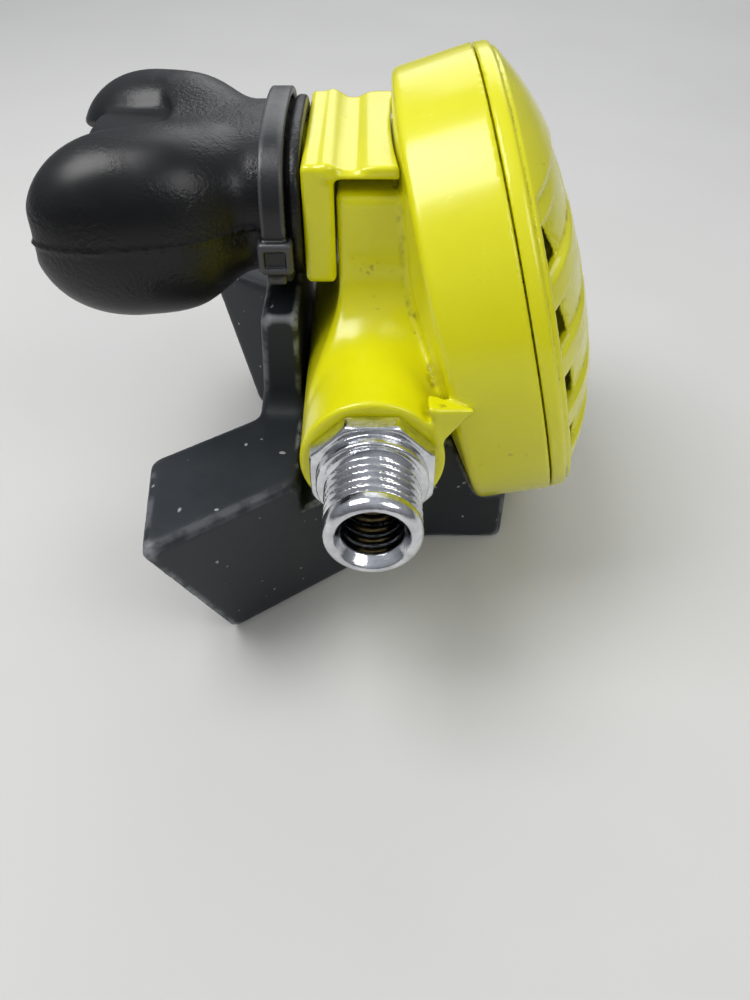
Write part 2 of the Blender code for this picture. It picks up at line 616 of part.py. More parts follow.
def wing_room(name, low_edges, high_edges, ends, side):
    """A prism along one wing: section corners run outer low, outer high, inner high, inner low."""
    corners = [low_edges[1], high_edges[1], high_edges[0], low_edges[0]]
    past_middle = 4.0
    apex = []
    for offset, _ in corners:
        apex.append(offset * WING_DIRECTION[0] / WING_DIRECTION[1] + past_middle)
    return skin(name, [wing_quad(ends, corners, side), wing_quad(apex, corners, side)], REGULATOR)


def make_tee():
    top = -5.0
    tee = block("exhaust_tee", (-20.0, -19.8, FLOOR + 0.2), (25.6, 19.8, -12.0), REGULATOR, BLACK_RUBBER, 1.5)
    riser = block("riser", (-19.0, -19.8, FLOOR + 4.0), (-11.7, 19.8, RISER_TOP), REGULATOR, None, 1.5)
    fuse(tee, riser)
    for side in (-1, 1):
        wing = wing_room(f"wing_{side}", ((4.9, FLOOR), (20.5, FLOOR)), ((6.0, top), (24.9, top)),
                         (-45.1, -58.6, -49.5, -37.3), side)
        add_bevel(wing, 1.2)
        shelf = block(f"wing_shelf_{side}", (-11.9, -70.0, -12.4), (70.0, 70.0, 10.0), REGULATOR)
        front = block(f"wing_front_{side}", (26.0, -70.0, -50.0), (70.0, 70.0, 10.0), REGULATOR)
        cut(wing, shelf, front)
        fuse(tee, wing)
    neck = rod("port_neck", 11.8, -7.5, 4.0, EXHAUST)
    fuse(tee, neck)

    boss_room = rod("boss_room", 9.9, -1.8, 6.0, EXHAUST)
    barrel_room = rod("barrel_room", BARREL_RADIUS + 0.5, -70.0, 40.0, BARREL)
    cut(tee, case_room("tee_case_room"), boss_room, barrel_room)

    floor, roof = FLOOR + WALL, top - WALL
    cavity = block("tee_cavity", (-18.0, -17.6, floor), (12.0, 17.6, -14.0), REGULATOR)
    for side in (-1, 1):
        inner = wing_room(f"wing_cavity_{side}", ((6.9, floor), (18.5, floor)), ((8.0, roof), (22.4, roof)),
                          (-54.0, -68.0, -60.0, -48.0), side)
        fuse(cavity, inner)
    shelf = block("cavity_shelf", (-13.7, -70.0, -14.0), (70.0, 70.0, 10.0), REGULATOR)
    front = block("cavity_front", (12.0, -70.0, -50.0), (70.0, 70.0, 10.0), REGULATOR)
    cut(cavity, shelf, front)
    riser_way = block("riser_cavity", (-17.0, -17.6, floor), (-13.7, 17.6, RISER_TOP - WALL), REGULATOR)
    fuse(cavity, riser_way)
    port = rod("port", 9.5, -10.0, 0.5, EXHAUST)
    cut(tee, cavity, port)


make_case()
make_horn()
make_mouthpiece()
make_clamp()
make_cover()
make_button()
make_diaphragm()
make_inlet()
make_valve()
make_lever()
make_exhaust_valve()
make_tee()
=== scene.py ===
import json
import math

import bpy
import numpy as np
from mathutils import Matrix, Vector


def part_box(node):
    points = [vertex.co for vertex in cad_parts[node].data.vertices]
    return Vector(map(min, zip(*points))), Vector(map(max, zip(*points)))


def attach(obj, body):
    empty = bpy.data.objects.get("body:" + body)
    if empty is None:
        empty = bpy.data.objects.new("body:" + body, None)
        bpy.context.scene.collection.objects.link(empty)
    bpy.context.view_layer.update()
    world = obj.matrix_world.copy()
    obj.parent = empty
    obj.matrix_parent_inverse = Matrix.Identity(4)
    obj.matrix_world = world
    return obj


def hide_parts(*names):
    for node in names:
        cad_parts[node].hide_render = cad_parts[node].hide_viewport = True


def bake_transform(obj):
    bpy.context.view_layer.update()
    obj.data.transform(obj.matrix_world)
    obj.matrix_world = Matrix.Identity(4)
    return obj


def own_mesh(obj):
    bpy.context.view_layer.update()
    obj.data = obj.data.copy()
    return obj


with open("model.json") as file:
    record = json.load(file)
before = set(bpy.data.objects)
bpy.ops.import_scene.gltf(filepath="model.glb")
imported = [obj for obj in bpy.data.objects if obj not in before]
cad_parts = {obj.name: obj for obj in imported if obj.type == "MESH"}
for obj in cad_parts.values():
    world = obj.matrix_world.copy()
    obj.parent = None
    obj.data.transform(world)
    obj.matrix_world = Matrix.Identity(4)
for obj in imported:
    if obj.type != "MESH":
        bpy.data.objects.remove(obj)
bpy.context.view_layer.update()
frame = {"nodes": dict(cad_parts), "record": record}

# ---- places taken from the frame ---------------------------------------------------------
# Shapes below are worked out in millimetres about the point where the barrel axis crosses
# the plane of symmetry; +Y runs along the barrel away from the inlet.
MM = 0.001
NOSE_Y = -56.5
barrel_low, barrel_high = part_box("valve_body")
ORIGIN = Vector(((barrel_low.x + barrel_high.x) / 2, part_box("inlet_fitting")[0].y - NOSE_Y * MM,
                 (barrel_low.z + barrel_high.z) / 2))
FLOOR = -ORIGIN.z / MM

DISC_TILT = math.radians(14.4)
DISC_CENTRE = (24.7, 0.0, 9.1)
FORWARD = (math.cos(DISC_TILT), 0.0, math.sin(DISC_TILT))
DOWN = (math.sin(DISC_TILT), 0.0, -math.cos(DISC_TILT))
RIM = 38.1
RIM_TAPER = 0.045                   # the rim narrows by this much per mm away from the seam
CONE_SLOPE = 0.203
BACK_FLAT = 8.0                     # radius of the flat middle of the back wall
PORT_DOWN = 25.0                    # exhaust port, down from the middle of the back wall

BARREL_RADIUS = 11.0
BARREL_BORE = 8.2
BARREL_INLET_END = -40.0
BARREL_PLUG_END = 24.0

MIDDLE_Z = 26.5                     # height of the mouthpiece's axis

# ---- how fields are meshed ---------------------------------------------------------------------
GRADIENT_REACH = 0.04
BEND_REACH = 0.9
SETTLING_STEPS = 4
LONGEST_MOVE = 0.4                  # of a cell, in one settling step


# ---- fields: signed distances in mm, negative inside -----------------------------------------
def soft_min(a, b, width):
    """Union of two fields with a fillet."""
    h = np.clip(0.5 + 0.5 * (b - a) / width, 0.0, 1.0)
    return b + (a - b) * h - width * h * (1.0 - h)


def soft_max(a, b, width):
    """Intersection of two fields with a rounded edge."""
    return -soft_min(-a, -b, width)


def soft_step(value, width):
    """0 below, 1 above, blended over width."""
    t = np.clip(value / width + 0.5, 0.0, 1.0)
    return t * t * (3.0 - 2.0 * t)


def rounded_box(x, y, z, low, high, radius):
    """A box between two corners, with rounded edges."""
    parts = []
    for value, lo, hi in ((x, low[0], high[0]), (y, low[1], high[1]), (z, low[2], high[2])):
        parts.append(np.abs(value - (lo + hi) / 2) - ((hi - lo) / 2 - radius))
    outside = np.sqrt(sum(np.maximum(part, 0.0) ** 2 for part in parts))
    inside = np.minimum(np.maximum(np.maximum(parts[0], parts[1]), parts[2]), 0.0)
    return outside + inside - radius


def superellipse(y, z, half_width, half_height, power):
    """Distance-like field of a rounded rectangle."""
    measure = (np.abs(y / half_width) ** power + np.abs(z / half_height) ** power + 1e-9) ** (1 / power)
    return (measure - 1.0) * np.minimum(half_width, half_height)


def in_disc(x, y, z):
    """Place in the disc frame: down the face, across it, out of it, and off its axis."""
    dx, dz = x - DISC_CENTRE[0], z - DISC_CENTRE[2]
    down = dx * DOWN[0] + dz * DOWN[2]
    out = dx * FORWARD[0] + dz * FORWARD[2]
    return down, y, out, np.hypot(down, y)


def round_case(out, r, radius, depth, rounding):
    """The tapered rim and shallow conical back of the round case, for a radius and a depth."""
    rim = r - radius - RIM_TAPER * out
    back = -(out + depth - cone(r)) * 0.98
    return soft_max(rim, back, rounding)


def cone(r):
    """How far the back wall has come forward at a radius."""
    return CONE_SLOPE * (np.maximum(r, BACK_FLAT) - BACK_FLAT)


def surface(name, field, low, high, step):
    """Mesh the zero level of a field: one vertex in each crossed cell, then moved onto the surface."""
    axes = [np.arange(lo, hi + step, step) for lo, hi in zip(low, high)]
    grid = np.meshgrid(*axes, indexing="ij")
    value = field(*grid)
    inside = value < 0.0
    shape = tuple(n - 1 for n in value.shape)
    offsets = [(i, j, k) for i in (0, 1) for j in (0, 1) for k in (0, 1)]

    def corner(array, offset):
        return array[tuple(slice(o, o + n) for o, n in zip(offset, shape))]

    filled = sum(corner(inside, offset).astype(np.int8) for offset in offsets)
    active = (filled > 0) & (filled < 8)
    total = np.zeros((*shape, 3))
    count = np.zeros(shape)
    for axis in range(3):
        for offset in offsets:
            if offset[axis]:
                continue
            other = tuple(o + (index == axis) for index, o in enumerate(offset))
            first, second = corner(value, offset), corner(value, other)
            crossed = (first < 0.0) != (second < 0.0)
            share = np.where(crossed, first / np.where(crossed, first - second, 1.0), 0.0)
            for index in range(3):
                place = offset[index] + (share if index == axis else 0.0)
                total[..., index] += crossed * place
            count += crossed
    cells = np.argwhere(active)
    points = np.asarray(low) + (cells + total[active] / count[active][:, None]) * step
    number = np.full(shape, -1)
    number[active] = np.arange(len(cells))

    faces = []
    for axis in range(3):
        u, v = (axis + 1) % 3, (axis + 2) % 3
        start = [slice(1, n) for n in shape]
        start[axis] = slice(0, shape[axis])
        ahead = list(start)
        ahead[axis] = slice(1, shape[axis] + 1)
        here, there = inside[tuple(start)], inside[tuple(ahead)]
        edges = np.argwhere(here != there)
        leaving = here[tuple(edges.T)]
        edges = edges + np.array([0 if index == axis else 1 for index in range(3)])
        quad = []
        for back_u, back_v in ((1, 1), (0, 1), (0, 0), (1, 0)):
            cell = edges.copy()
            cell[:, u] -= back_u
            cell[:, v] -= back_v
            quad.append(number[tuple(cell.T)])
        quad = np.stack(quad, axis=1)
        quad[~leaving] = quad[~leaving][:, ::-1]
        faces.append(quad)
    faces = np.concatenate(faces)

    for _ in range(SETTLING_STEPS):
        gradient = slope(field, points, GRADIENT_REACH)
        height = field(*points.T)
        length = (gradient ** 2).sum(axis=1) + 1e-9
        longest = LONGEST_MOVE * step
        move = np.clip(height / length, -longest, longest)[:, None] * gradient
        points = points - move
    mesh = bpy.data.meshes.new(name)
    mesh.vertices.add(len(points))
    mesh.vertices.foreach_set("co", (points * MM + np.array(ORIGIN)).ravel())
    mesh.loops.add(faces.size)
    mesh.loops.foreach_set("vertex_index", faces.ravel())
    mesh.polygons.add(len(faces))
    mesh.polygons.foreach_set("loop_start", np.arange(len(faces)) * 4)
    mesh.update(calc_edges=True)
    mesh.validate()
    mesh.shade_smooth()
    bend = sharpness(field, points)
    for label, sign in (("edge", 1.0), ("crevice", -1.0)):
        layer = mesh.attributes.new(label, "FLOAT", "POINT")
        layer.data.foreach_set("value", np.clip(sign * bend, 0.0, 1.0).astype(np.float32))
    obj = bpy.data.objects.new(name, mesh)
    bpy.context.scene.collection.objects.link(obj)
    return obj


def slope(field, points, reach):
    """Gradient of a field at points, by central differences."""
    columns = []
    for axis in range(3):
        ahead, behind = points.copy(), points.copy()
        ahead[:, axis] += reach
        behind[:, axis] -= reach
        columns.append((field(*ahead.T) - field(*behind.T)) / (2 * reach))
    return np.stack(columns, axis=1)


def sharpness(field, points):
    """How strongly a surface curves at points: above 0 on an outer edge, below 0 in an inner corner."""
    total = -6.0 * field(*points.T)
    for axis in range(3):
        for step in (-BEND_REACH, BEND_REACH):
            moved = points.copy()
            moved[:, axis] += step
            total += field(*moved.T)
    return total / BEND_REACH


# ---- the yellow case ------------------------------------------------------------------------
PORT_RING = 5.4                     # radius of the ring of six holes under the exhaust valve
FIN_CORNERS = [(8.0, 10.2), (9.8, 3.2), (15.0, 8.9)]


def case_field(x, y, z):
    """Round case, barrel, the air duct between them, fin and exhaust boss, hollow inside."""
    down, across, out, r = in_disc(x, y, z)
    disc = soft_max(round_case(out, r, RIM - 0.03, 18.8, 1.1), out, 0.3)
    around = np.hypot(x, z)
    barrel = soft_max(around - BARREL_RADIUS, BARREL_INLET_END - y, 0.7)
    barrel = soft_max(barrel, y - BARREL_PLUG_END, 0.7)
    # the duct's sides spread out towards the barrel; the box is longer than they ever are
    flare = 16.9 + 6.0 * np.clip((21.0 - z) / 13.0, 0.0, 1.2) ** 2
    upright = rounded_box(x, y, z, (-5.2, -50.0, -3.0), (10.0, 50.0, 31.3), 1.0)
    upright = soft_max(upright, np.abs(y) - flare, 1.8)
    outer = soft_min(soft_min(barrel, upright, 7.0), disc, 1.2)
    outer = soft_min(outer, fin_field(x, y, z), 0.9)
    around_port = np.hypot(down - PORT_DOWN, across)
    boss = soft_max(around_port - 9.6, np.abs(out + 15.0) - 2.5, 0.3)
    outer = soft_min(outer, boss, 0.6)

    inner_back = out + 16.8 - cone(r)
    cavity = np.maximum(np.where(out > -4.9, r - (RIM - 1.7), r - (RIM - 3.7)), -inner_back)
    cavity = np.minimum(cavity, around - BARREL_BORE)
    cavity = np.minimum(cavity, rounded_box(x, y, z, (-3.2, -14.0, 4.0), (8.0, 14.0, 29.3), 0.5))
    cavity = np.minimum(cavity, rounded_box(x, y, z, (-9.0, -12.5, 20.0), (-1.0, 12.5, 29.3), 0.5))
    holes = around_port - 1.25
    for index in range(6):
        angle = index * math.pi / 3
        hole = np.hypot(down - PORT_DOWN - PORT_RING * math.cos(angle), across - PORT_RING * math.sin(angle))
        holes = np.minimum(holes, hole - 2.2)
    cavity = np.minimum(cavity, np.maximum(holes, -out - 21.0))
    return soft_max(outer, -cavity, 0.35)


def fin_field(x, y, z):
    """Small pointed fin on the end of the barrel, towards the rim: thick at its root, thin at its point."""
    inside = None
    for first, second in zip(FIN_CORNERS, FIN_CORNERS[1:] + FIN_CORNERS[:1]):
        run_x, run_z = second[0] - first[0], second[1] - first[1]
        length = math.hypot(run_x, run_z)
        side = ((x - first[0]) * run_z - (z - first[1]) * run_x) / length
        inside = side if inside is None else soft_max(inside, side, 0.3)
    thick = 0.55 + 1.3 * np.clip((13.6 - x) / 4.0, 0.0, 1.0)
    return soft_max(inside, np.abs(y + 38.7 - 0.2 * thick) - thick, 0.5)


# ---- collar and roof plate --------------------------------------------------------------------
def horn_field(x, y, z):
    """Collar with its oval spigot and the plate over the duct, cut to fit round the case."""
    collar = rounded_box(x, y, z, (-10.2, -17.3, 17.5), (-5.5, 17.3, 35.6), 0.9)
    roof = rounded_box(x, y, z, (-7.0, -17.3, 33.6), (24.0, 17.3, 35.5), 0.55)
    groove = 0.95 * np.exp(-((x + 3.0) / 2.0) ** 2) * soft_step(z - 34.4, 0.8)
    spigot = soft_max(superellipse(y, z - MIDDLE_Z, 13.6, 8.0, 2.4), np.abs(x + 15.0) - 7.0, 0.4)
    body = soft_min(soft_min(collar, roof, 1.4) + groove, spigot, 0.5)
    channel = superellipse(y, z - MIDDLE_Z, 11.6, 6.1, 2.4)
    body = soft_max(body, -channel, 0.4)
    _, _, out, r = in_disc(x, y, z)
    return soft_max(body, -round_case(out, r, RIM + 0.35, 19.1, 2.4), 0.3)


# ---- front cover ------------------------------------------------------------------------------
LIP = 36.8
LIP_HEIGHT = 3.4
DOME_RISE = 8.6
LOUVRE_FIRST = -18.7
LOUVRE_PITCH = 10.0
LOUVRE_ROWS = [LOUVRE_FIRST + LOUVRE_PITCH * row for row in range(5)]
LOUVRE_HALF = 2.9


def dome(r):
    """Height of the smooth top of the cover above the seam."""
    return LIP_HEIGHT + DOME_RISE * (1.0 - (np.minimum(r, LIP) / LIP) ** 3)


def cover_field(x, y, z):
    """Domed cover with a sunk field of louvre rows, each open at both ends, and a well for the button."""
    down, across, out, r = in_disc(x, y, z)
    side = np.abs(across)
    sunk = 0.6 * soft_step(down + 25.0, 1.0) * soft_step(LIP - 0.9 - r, 0.9)
    slots = None
    for centre in LOUVRE_ROWS:
        inner = math.sqrt(max(16.0 ** 2 - centre ** 2, 9.0))
        outer = math.sqrt((LIP - 1.0) ** 2 - centre ** 2)
        run = np.clip((side - inner) / (outer - inner), 0.0, 1.0)
        across_row = LOUVRE_HALF - np.abs(down - centre)
        mask = soft_step(across_row, 1.1) * soft_step(LIP - 1.3 - r, 0.9) * soft_step(side - inner, 1.5)
        sunk = sunk + mask * (0.25 + 1.0 * run)
        ends = soft_max(0.1 - across_row, r - (LIP - 1.2), 0.8)
        slot = soft_max(ends, outer - 5.6 - side, 0.8)
        slot = np.minimum(slot, np.maximum(np.maximum(ends, outer - 8.5 - side), out - dome(r) + 2.2))
        slots = slot if slots is None else np.minimum(slots, slot)
    flank = 3.0 * r ** 2 / LIP ** 3 * DOME_RISE
    top = (out - (dome(r) - sunk)) / np.sqrt(1.0 + np.where(r < LIP, flank, 0.0) ** 2)
    ledge = soft_max(r - (LIP + 0.1), top, 0.35)
    flange = soft_max(r - RIM + 0.15 + 0.05 * out, out - 2.8, 0.9)
    outer = soft_min(ledge, flange, 0.25)
    outer = soft_max(outer, 0.3 - out, 0.2)
    spigot = soft_max(np.abs(r - 35.15) - 0.95, np.abs(out + 0.2) - 1.2, 0.3)
    outer = np.minimum(outer, spigot)
    hollow = np.maximum(out - (dome(r) - 2.9), r - 34.2)
    hub = np.maximum(np.maximum(r - 14.0, 2.6 - out), out - 9.0)
    hollow = np.maximum(hollow, -hub)
    well = np.maximum(r - 12.3, 4.0 - out)
    empty = np.minimum(np.minimum(hollow, well), r - 2.4)
    outer = soft_max(outer, -empty, 0.3)
    return soft_max(outer, -slots, 0.35)


# ---- soft mouthpiece -----------------------------------------------------------------------------
LOBE_X = -35.5
LUG_Y = 15.5
LUG_HALF = 3.6
LUG_HALF_HEIGHT = 2.2


def lobe(x, y, z, side):
    """One half of the lip shield, swept outwards away from the tube."""
    along = (x - LOBE_X) / 15.2
    across = (y - side * (14.2 - 0.15 * (x - LOBE_X))) / 10.8
    height = (z - MIDDLE_Z + 0.8) / 13.5
    blunt = np.where(along > 0.0, 3.4, 2.1)
    measure = np.abs(along) ** blunt + np.abs(across) ** 2.3 + np.abs(height) ** 2.3
    return ((measure + 1e-9) ** (1 / 2.3) - 1.0) * 11.0


def mouthpiece_field(x, y, z):
    """Oval tube and lip shield with a parting line, hollow, with two bite lugs."""
    height = z - MIDDLE_Z
    tube = superellipse(y, height, 17.1, 10.8, 2.8)
    tube = soft_max(tube, np.abs(x + 21.0) - 10.4, 0.8)
    bead = soft_max(superellipse(y, height, 17.8, 11.4, 2.8), np.abs(x + 11.3) - 0.8, 0.5)
    web = soft_max(superellipse(y, height, 12.0, 9.5, 2.6), np.abs(x + 33.0) - 10.3, 0.7)
    lobes = np.minimum(lobe(x, y, z, -1), lobe(x, y, z, 1))
    body = soft_min(soft_min(tube, lobes, 4.0), web, 1.6)
    parting = 0.2 * np.exp(-(height / 0.3) ** 2) * soft_step(-x - 17.0, 1.0)
    body = soft_min(body - parting, bead, 0.6)

    bore = superellipse(y, height, 13.9, 8.3 - 1.2 * soft_step(-27.0 - x, 5.0), 2.4)
    pocket = soft_max(lobes + 2.6, x + 33.0, 1.0)
    opening = np.maximum(superellipse(y, height, 20.5, 5.2, 3.0), x + 38.0)
    body = soft_max(body, -np.minimum(np.minimum(bore, pocket), opening), 0.8)
    lugs = None
    for side in (-1, 1):
        lug = rounded_box(x, y, z, (-49.0, side * LUG_Y - LUG_HALF, MIDDLE_Z - LUG_HALF_HEIGHT),
                          (-30.0, side * LUG_Y + LUG_HALF, MIDDLE_Z + LUG_HALF_HEIGHT), 1.6)
        lugs = lug if lugs is None else np.minimum(lugs, lug)
    return soft_min(body, lugs, 1.5)


def clamp_field(x, y, z):
    """Nylon tie round the tube, with its lock and the cut end of its tail."""
    height = z - MIDDLE_Z
    band = np.abs(superellipse(y, height, 18.5, 12.0, 2.8)) - 0.55
    band = soft_max(band, np.abs(x + 14.5) - 1.8, 0.4)
    lock = rounded_box(x, y, z, (-17.0, -20.6, 20.4), (-11.8, -17.6, 25.4), 0.7)
    notch = rounded_box(x, y, z, (-16.0, -21.5, 21.6), (-12.8, -20.0, 24.2), 0.3)
    lock = soft_max(lock, -notch, 0.3)
    tail = rounded_box(x, y, z, (-16.0, -19.9, 18.6), (-13.0, -18.7, 21.0), 0.4)
    return soft_min(soft_min(band, lock, 0.5), tail, 0.3)


# ---- inlet fitting -----------------------------------------------------------------------------
PITCH = 25.4 / 18
CREST_RADIUS = 7.1
GROOVE_DEPTH = 0.75


def inlet_field(x, y, z):
    """Octagon with a round shoulder, helical thread on the nose, and a ribbed bore."""
    r = np.hypot(x, z)
    turn = np.arctan2(z, x) / (2 * math.pi)
    phase = np.abs(((y / PITCH - turn) % 1.0) - 0.5) * 2.0
    threaded = soft_step(y + 53.6, 0.8) * soft_step(-45.0 - y, 0.6)
    depth = GROOVE_DEPTH * np.clip(phase * 1.25 - 0.12, 0.0, 1.0) * threaded
    shaft = (r - (CREST_RADIUS - depth)) * 0.8
    shaft = soft_max(shaft, NOSE_Y - y, 1.8)
    flats = None
    for index in range(4):
        angle = index * math.pi / 4
        side = np.abs(x * math.cos(angle) + z * math.sin(angle)) - 9.2
        flats = side if flats is None else soft_max(flats, side, 0.2)
    chamfer = (r - 9.3 - (y + 43.4) * 1.3) * 0.6
    nut = soft_max(soft_max(flats, np.abs(y + 41.85) - 1.55, 0.25), chamfer, 0.2)
    shoulder = soft_max(r - 8.3, -45.5 - y, 0.5)
    nut = soft_min(nut, soft_max(shoulder, y + 42.0, 0.3), 0.15)
    shank = soft_max(r - 7.9, -42.0 - y, 0.3)
    body = soft_min(soft_min(shaft, nut, 0.35), shank, 0.3)
    body = soft_max(body, y + 30.0, 0.3)
    mouth = (r - 5.6 + (y - NOSE_Y) * 0.7) * 0.8
    ribs = 0.14 * soft_step(np.cos(y * 2 * math.pi / 2.1), 0.8) * soft_step(-y - 46.5, 0.6)
    bore = r - 4.5 + ribs
    bore = np.minimum(bore, mouth)
    return soft_max(body, -bore, 0.4)


# ---- exhaust tee ---------------------------------------------------------------------------------
RUN_X, RUN_Y = 0.815, 0.579         # plan direction of a wing
WING_TOP = -5.0
WING_OUTER = (20.5, 24.9)           # offsets at the floor and at the top
WING_INNER = (4.9, 6.0)
WING_END = (-41.0, -52.3)
HUB_TOP = -12.2
RISER_FRONT = -11.8


def leaning(value, z, at_floor, at_top):
    """A wall whose offset changes evenly from the floor to the top of a wing."""
    share = (z - FLOOR) / (WING_TOP - FLOOR)
    return value - (at_floor + (at_top - at_floor) * share)


def wing(x, side_y, z, wall):
    """One wing of the tee, thinned all round by wall; side_y is negative on the wing's side."""
    along = x * RUN_X + side_y * RUN_Y
    offset = x * RUN_Y - side_y * RUN_X
    outer = leaning(offset, z, *WING_OUTER) + wall
    inner = -leaning(offset, z, *WING_INNER) + wall
    end = -leaning(along + (offset - 12.7) * 0.54, z, *WING_END)
    if wall:
        end = end - 12.0            # the way inside runs out through the end
    else:
        end = end * 0.9
    box = soft_max(soft_max(outer, inner, 1.6), end, 1.6)
    height = soft_max(z - WING_TOP + wall, FLOOR - z + wall, 0.5)
    return soft_max(box, height, 2.0 if not wall else 0.8)


def tee_field(x, y, z):
    """Two mirrored wings on a hub, with a riser behind the case and a way out for the air."""
    near = -np.abs(y)
    ahead = soft_max(wing(x, near, z, 0.0), x - 26.0, 1.5)
    wings = soft_max(ahead, np.minimum(x - RISER_FRONT, z - HUB_TOP), 0.8)
    hub = rounded_box(x, y, z, (-20.0, -19.8, FLOOR), (25.6, 19.8, HUB_TOP), 1.4)
    lean = (z - FLOOR) * 0.055
    riser = rounded_box(x - lean, y, z, (-20.5, -19.8, FLOOR + 4.0), (RISER_FRONT - 2.0, 19.8, 13.0), 1.4)
    riser = soft_max(riser, x - RISER_FRONT, 0.8)
    body = soft_min(soft_min(wings, hub, 2.0), riser, 4.0)
    down, across, out, r = in_disc(x, y, z)
    around_port = np.hypot(down - PORT_DOWN, across)
    port_neck = soft_max(around_port - 11.8, np.abs(out + 20.0) - 5.0, 0.5)
    body = soft_min(body, port_neck, 0.8)
    body = soft_max(body, FLOOR - z, 0.4)
    body = soft_max(body, -round_case(out, r, RIM + 0.4, 19.2, 2.4), 0.4)
    body = soft_max(body, -np.maximum(around_port - 9.9, -out - 19.3), 0.3)
    body = soft_max(body, 11.5 - np.hypot(x, z), 0.4)
    way = wing(x, near, z, 2.0)
    way = np.maximum(way, np.minimum(x + 13.7, z + 14.0))
    way = np.maximum(way, x - 12.0)
    chamber = rounded_box(x, y, z, (-18.0, -17.6, FLOOR + 2.0), (12.0, 17.6, -14.0), 1.0)
    tower = rounded_box(x, y, z, (-17.0, -17.6, FLOOR + 2.0), (-13.7, 17.6, 11.0), 0.8)
    port = np.maximum(around_port - 9.5, np.abs(out + 22.0) - 5.0)
    hollow = np.minimum(np.minimum(way, chamber), np.minimum(tower, port))
    return soft_max(body, -hollow, 0.5)


# ---- materials ----------------------------------------------------------------------------------
MIX_FIRST, MIX_SECOND, MIX_RESULT = 6, 7, 2     # the colour sockets of a Mix node


def new_material(name):
    made = bpy.data.materials.new(name)
    made.use_nodes = True
    return made, made.node_tree, made.node_tree.nodes["Principled BSDF"]


def feed(tree, socket, value):
    """Store a value on a socket, or link it there if it is a socket itself."""
    if isinstance(value, bpy.types.NodeSocket):
        tree.links.new(value, socket)
    else:
        socket.default_value = value


def add(tree, kind, **inputs):
    """A node with its inputs fed by name."""
    made = tree.nodes.new(kind)
    for key, value in inputs.items():
        feed(tree, made.inputs[key], value)
    return made


def place_of(tree, scale=(1.0, 1.0, 1.0)):
    """Position on the object, in metres, stretched by scale."""
    where = tree.nodes.new("ShaderNodeTexCoord")
    mapping = tree.nodes.new("ShaderNodeMapping")
    mapping.inputs["Scale"].default_value = scale
    tree.links.new(where.outputs["Object"], mapping.inputs["Vector"])
    return mapping.outputs["Vector"]


def noise(tree, vector, scale, detail=3.0, roughness=0.55):
    return add(tree, "ShaderNodeTexNoise", Vector=vector, Scale=scale, Detail=detail,
               Roughness=roughness).outputs["Fac"]


def ramp(tree, value, low, high, low_out=0.0, high_out=1.0):
    made = add(tree, "ShaderNodeMapRange", Value=value)
    for key, setting in (("From Min", low), ("From Max", high), ("To Min", low_out), ("To Max", high_out)):
        made.inputs[key].default_value = setting
    return made.outputs["Result"]


def mix(tree, factor, first, second):
    made = tree.nodes.new("ShaderNodeMix")
    made.data_type = "RGBA"
    for key, value in (("Factor", factor), (MIX_FIRST, first), (MIX_SECOND, second)):
        feed(tree, made.inputs[key], value)
    return made.outputs[MIX_RESULT]


def attribute(tree, name):
    """A value stored at the vertices of the mesh."""
    made = tree.nodes.new("ShaderNodeAttribute")
    made.attribute_name = name
    return made.outputs["Fac"]


def multiply(tree, first, second):
    made = tree.nodes.new("ShaderNodeMath")
    made.operation = "MULTIPLY"
    for socket, value in zip(made.inputs, (first, second)):
        feed(tree, socket, value)
    return made.outputs["Value"]


def bump(tree, shader, height, strength, distance):
    made = add(tree, "ShaderNodeBump", Height=height, Strength=strength, Distance=distance)
    tree.links.new(made.outputs["Normal"], shader.inputs["Normal"])


def yellow_plastic():
    """Glossy moulded lemon plastic with faint mottling, fine scratches, a little dirt and painted shade in
    its crevices.
    """
    made, tree, shader = new_material("yellow_plastic")
    where = place_of(tree)
    cloudy = noise(tree, where, 45.0)
    tint = mix(tree, ramp(tree, cloudy, 0.35, 0.7), (0.74, 0.71, 0.004, 1), (0.80, 0.77, 0.008, 1))
    specks = noise(tree, where, 420.0, 2.0)
    patches = noise(tree, where, 60.0, 1.0)
    dirt = multiply(tree, ramp(tree, specks, 0.66, 0.74), ramp(tree, patches, 0.56, 0.66))
    tint = mix(tree, multiply(tree, dirt, 0.55), tint, (0.16, 0.11, 0.02, 1))
    # Painted shade: inner corners and crevices darkened towards dark brown, broken up by noise.
    corners = ramp(tree, attribute(tree, "crevice"), 0.25, 0.8)
    painted_crevice_shade = multiply(tree, corners, ramp(tree, noise(tree, where, 380.0, 4.0), 0.5, 0.68))
    tint = mix(tree, multiply(tree, painted_crevice_shade, 0.75), tint, (0.12, 0.07, 0.01, 1))
    tree.links.new(tint, shader.inputs["Base Color"])
    rough = ramp(tree, noise(tree, where, 130.0, 4.0), 0.3, 0.7, 0.17, 0.28)
    tree.links.new(rough, shader.inputs["Roughness"])
    shader.inputs["Coat Weight"].default_value = 0.25
    shader.inputs["Coat Roughness"].default_value = 0.12
    shader.inputs["Subsurface Weight"].default_value = 0.06
    shader.inputs["Subsurface Radius"].default_value = (0.002, 0.0018, 0.0004)
    bump(tree, shader, noise(tree, where, 900.0, 2.0), 0.03, 0.0001)
    return made


